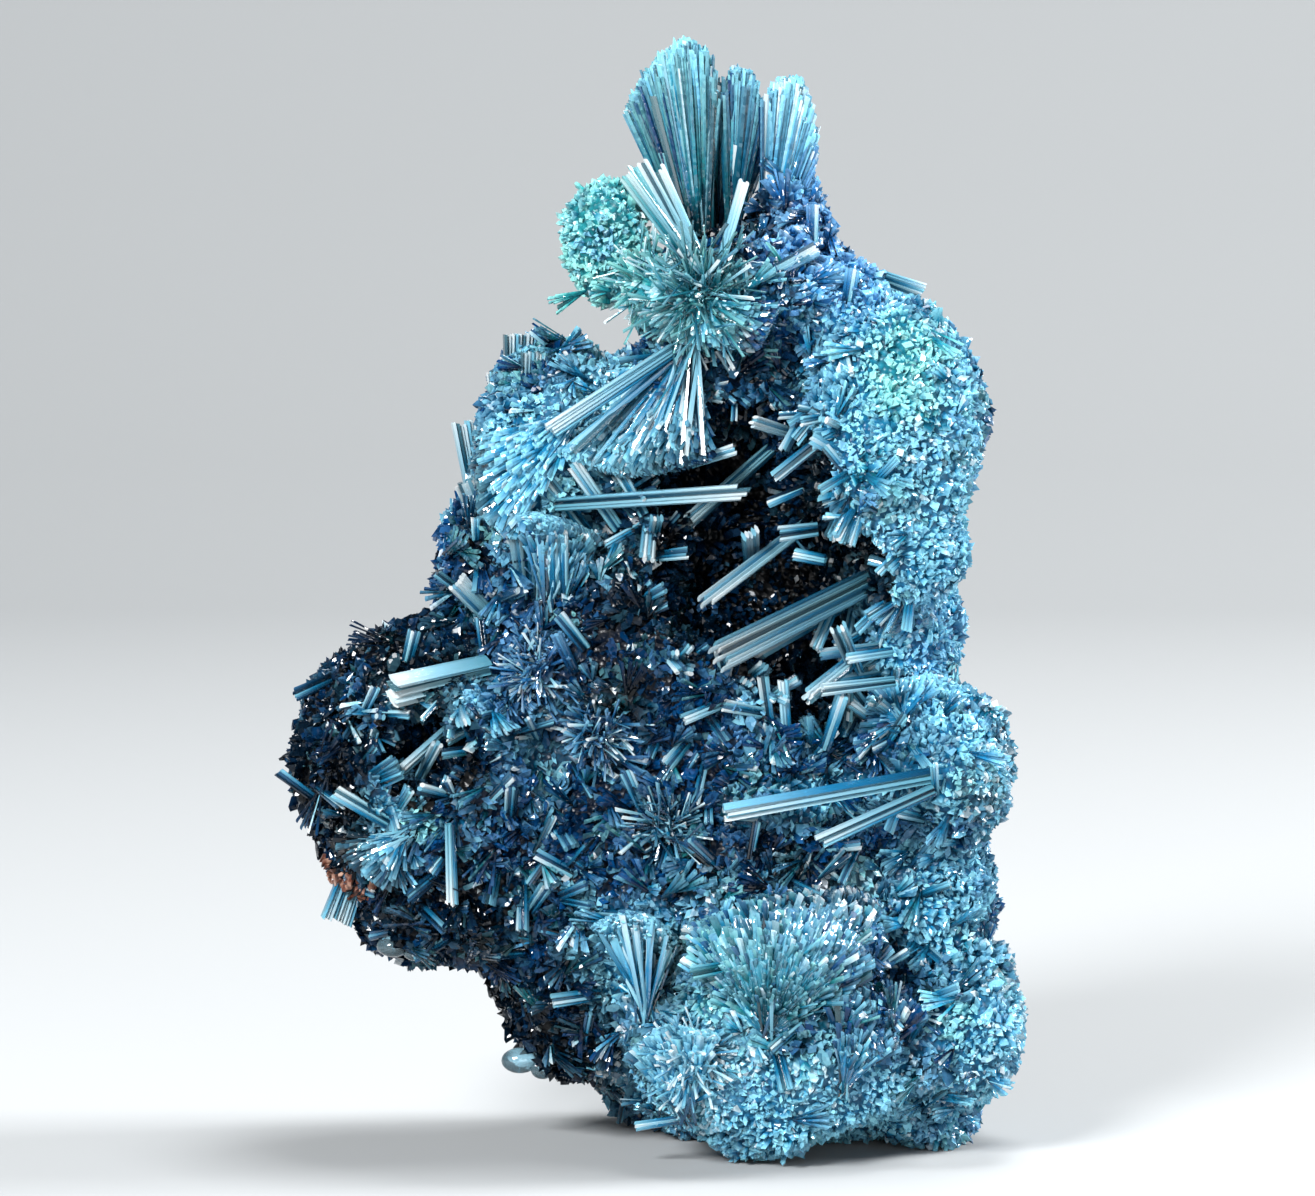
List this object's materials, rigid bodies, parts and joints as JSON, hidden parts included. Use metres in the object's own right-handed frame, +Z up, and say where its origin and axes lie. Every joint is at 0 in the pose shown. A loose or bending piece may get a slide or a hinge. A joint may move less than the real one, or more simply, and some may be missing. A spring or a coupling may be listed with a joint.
{
  "type": "indicolite tourmaline cluster",
  "caption": "Standing cluster of intergrown blue tourmaline sprays and druse, with a crystal-lined hollow in its display side.",
  "frame": {"origin": "on the surface that the cluster stands on, under the middle of its box", "axes": "+Z up through the crown of sprays, +X to the right as the display side is seen, -Y out of the display side"},
  "size_m": [0.0767, 0.0463, 0.1112],
  "materials": {
    "indicolite": "glassy crystal faces",
    "vug_indicolite": "dark glassy crystal faces"
  },
  "bodies": {
    "root": {"indicolite_mass": "indicolite", "vug_crust": "vug_indicolite", "side_vug_crust": "vug_indicolite"}
  },
  "joints": []
}
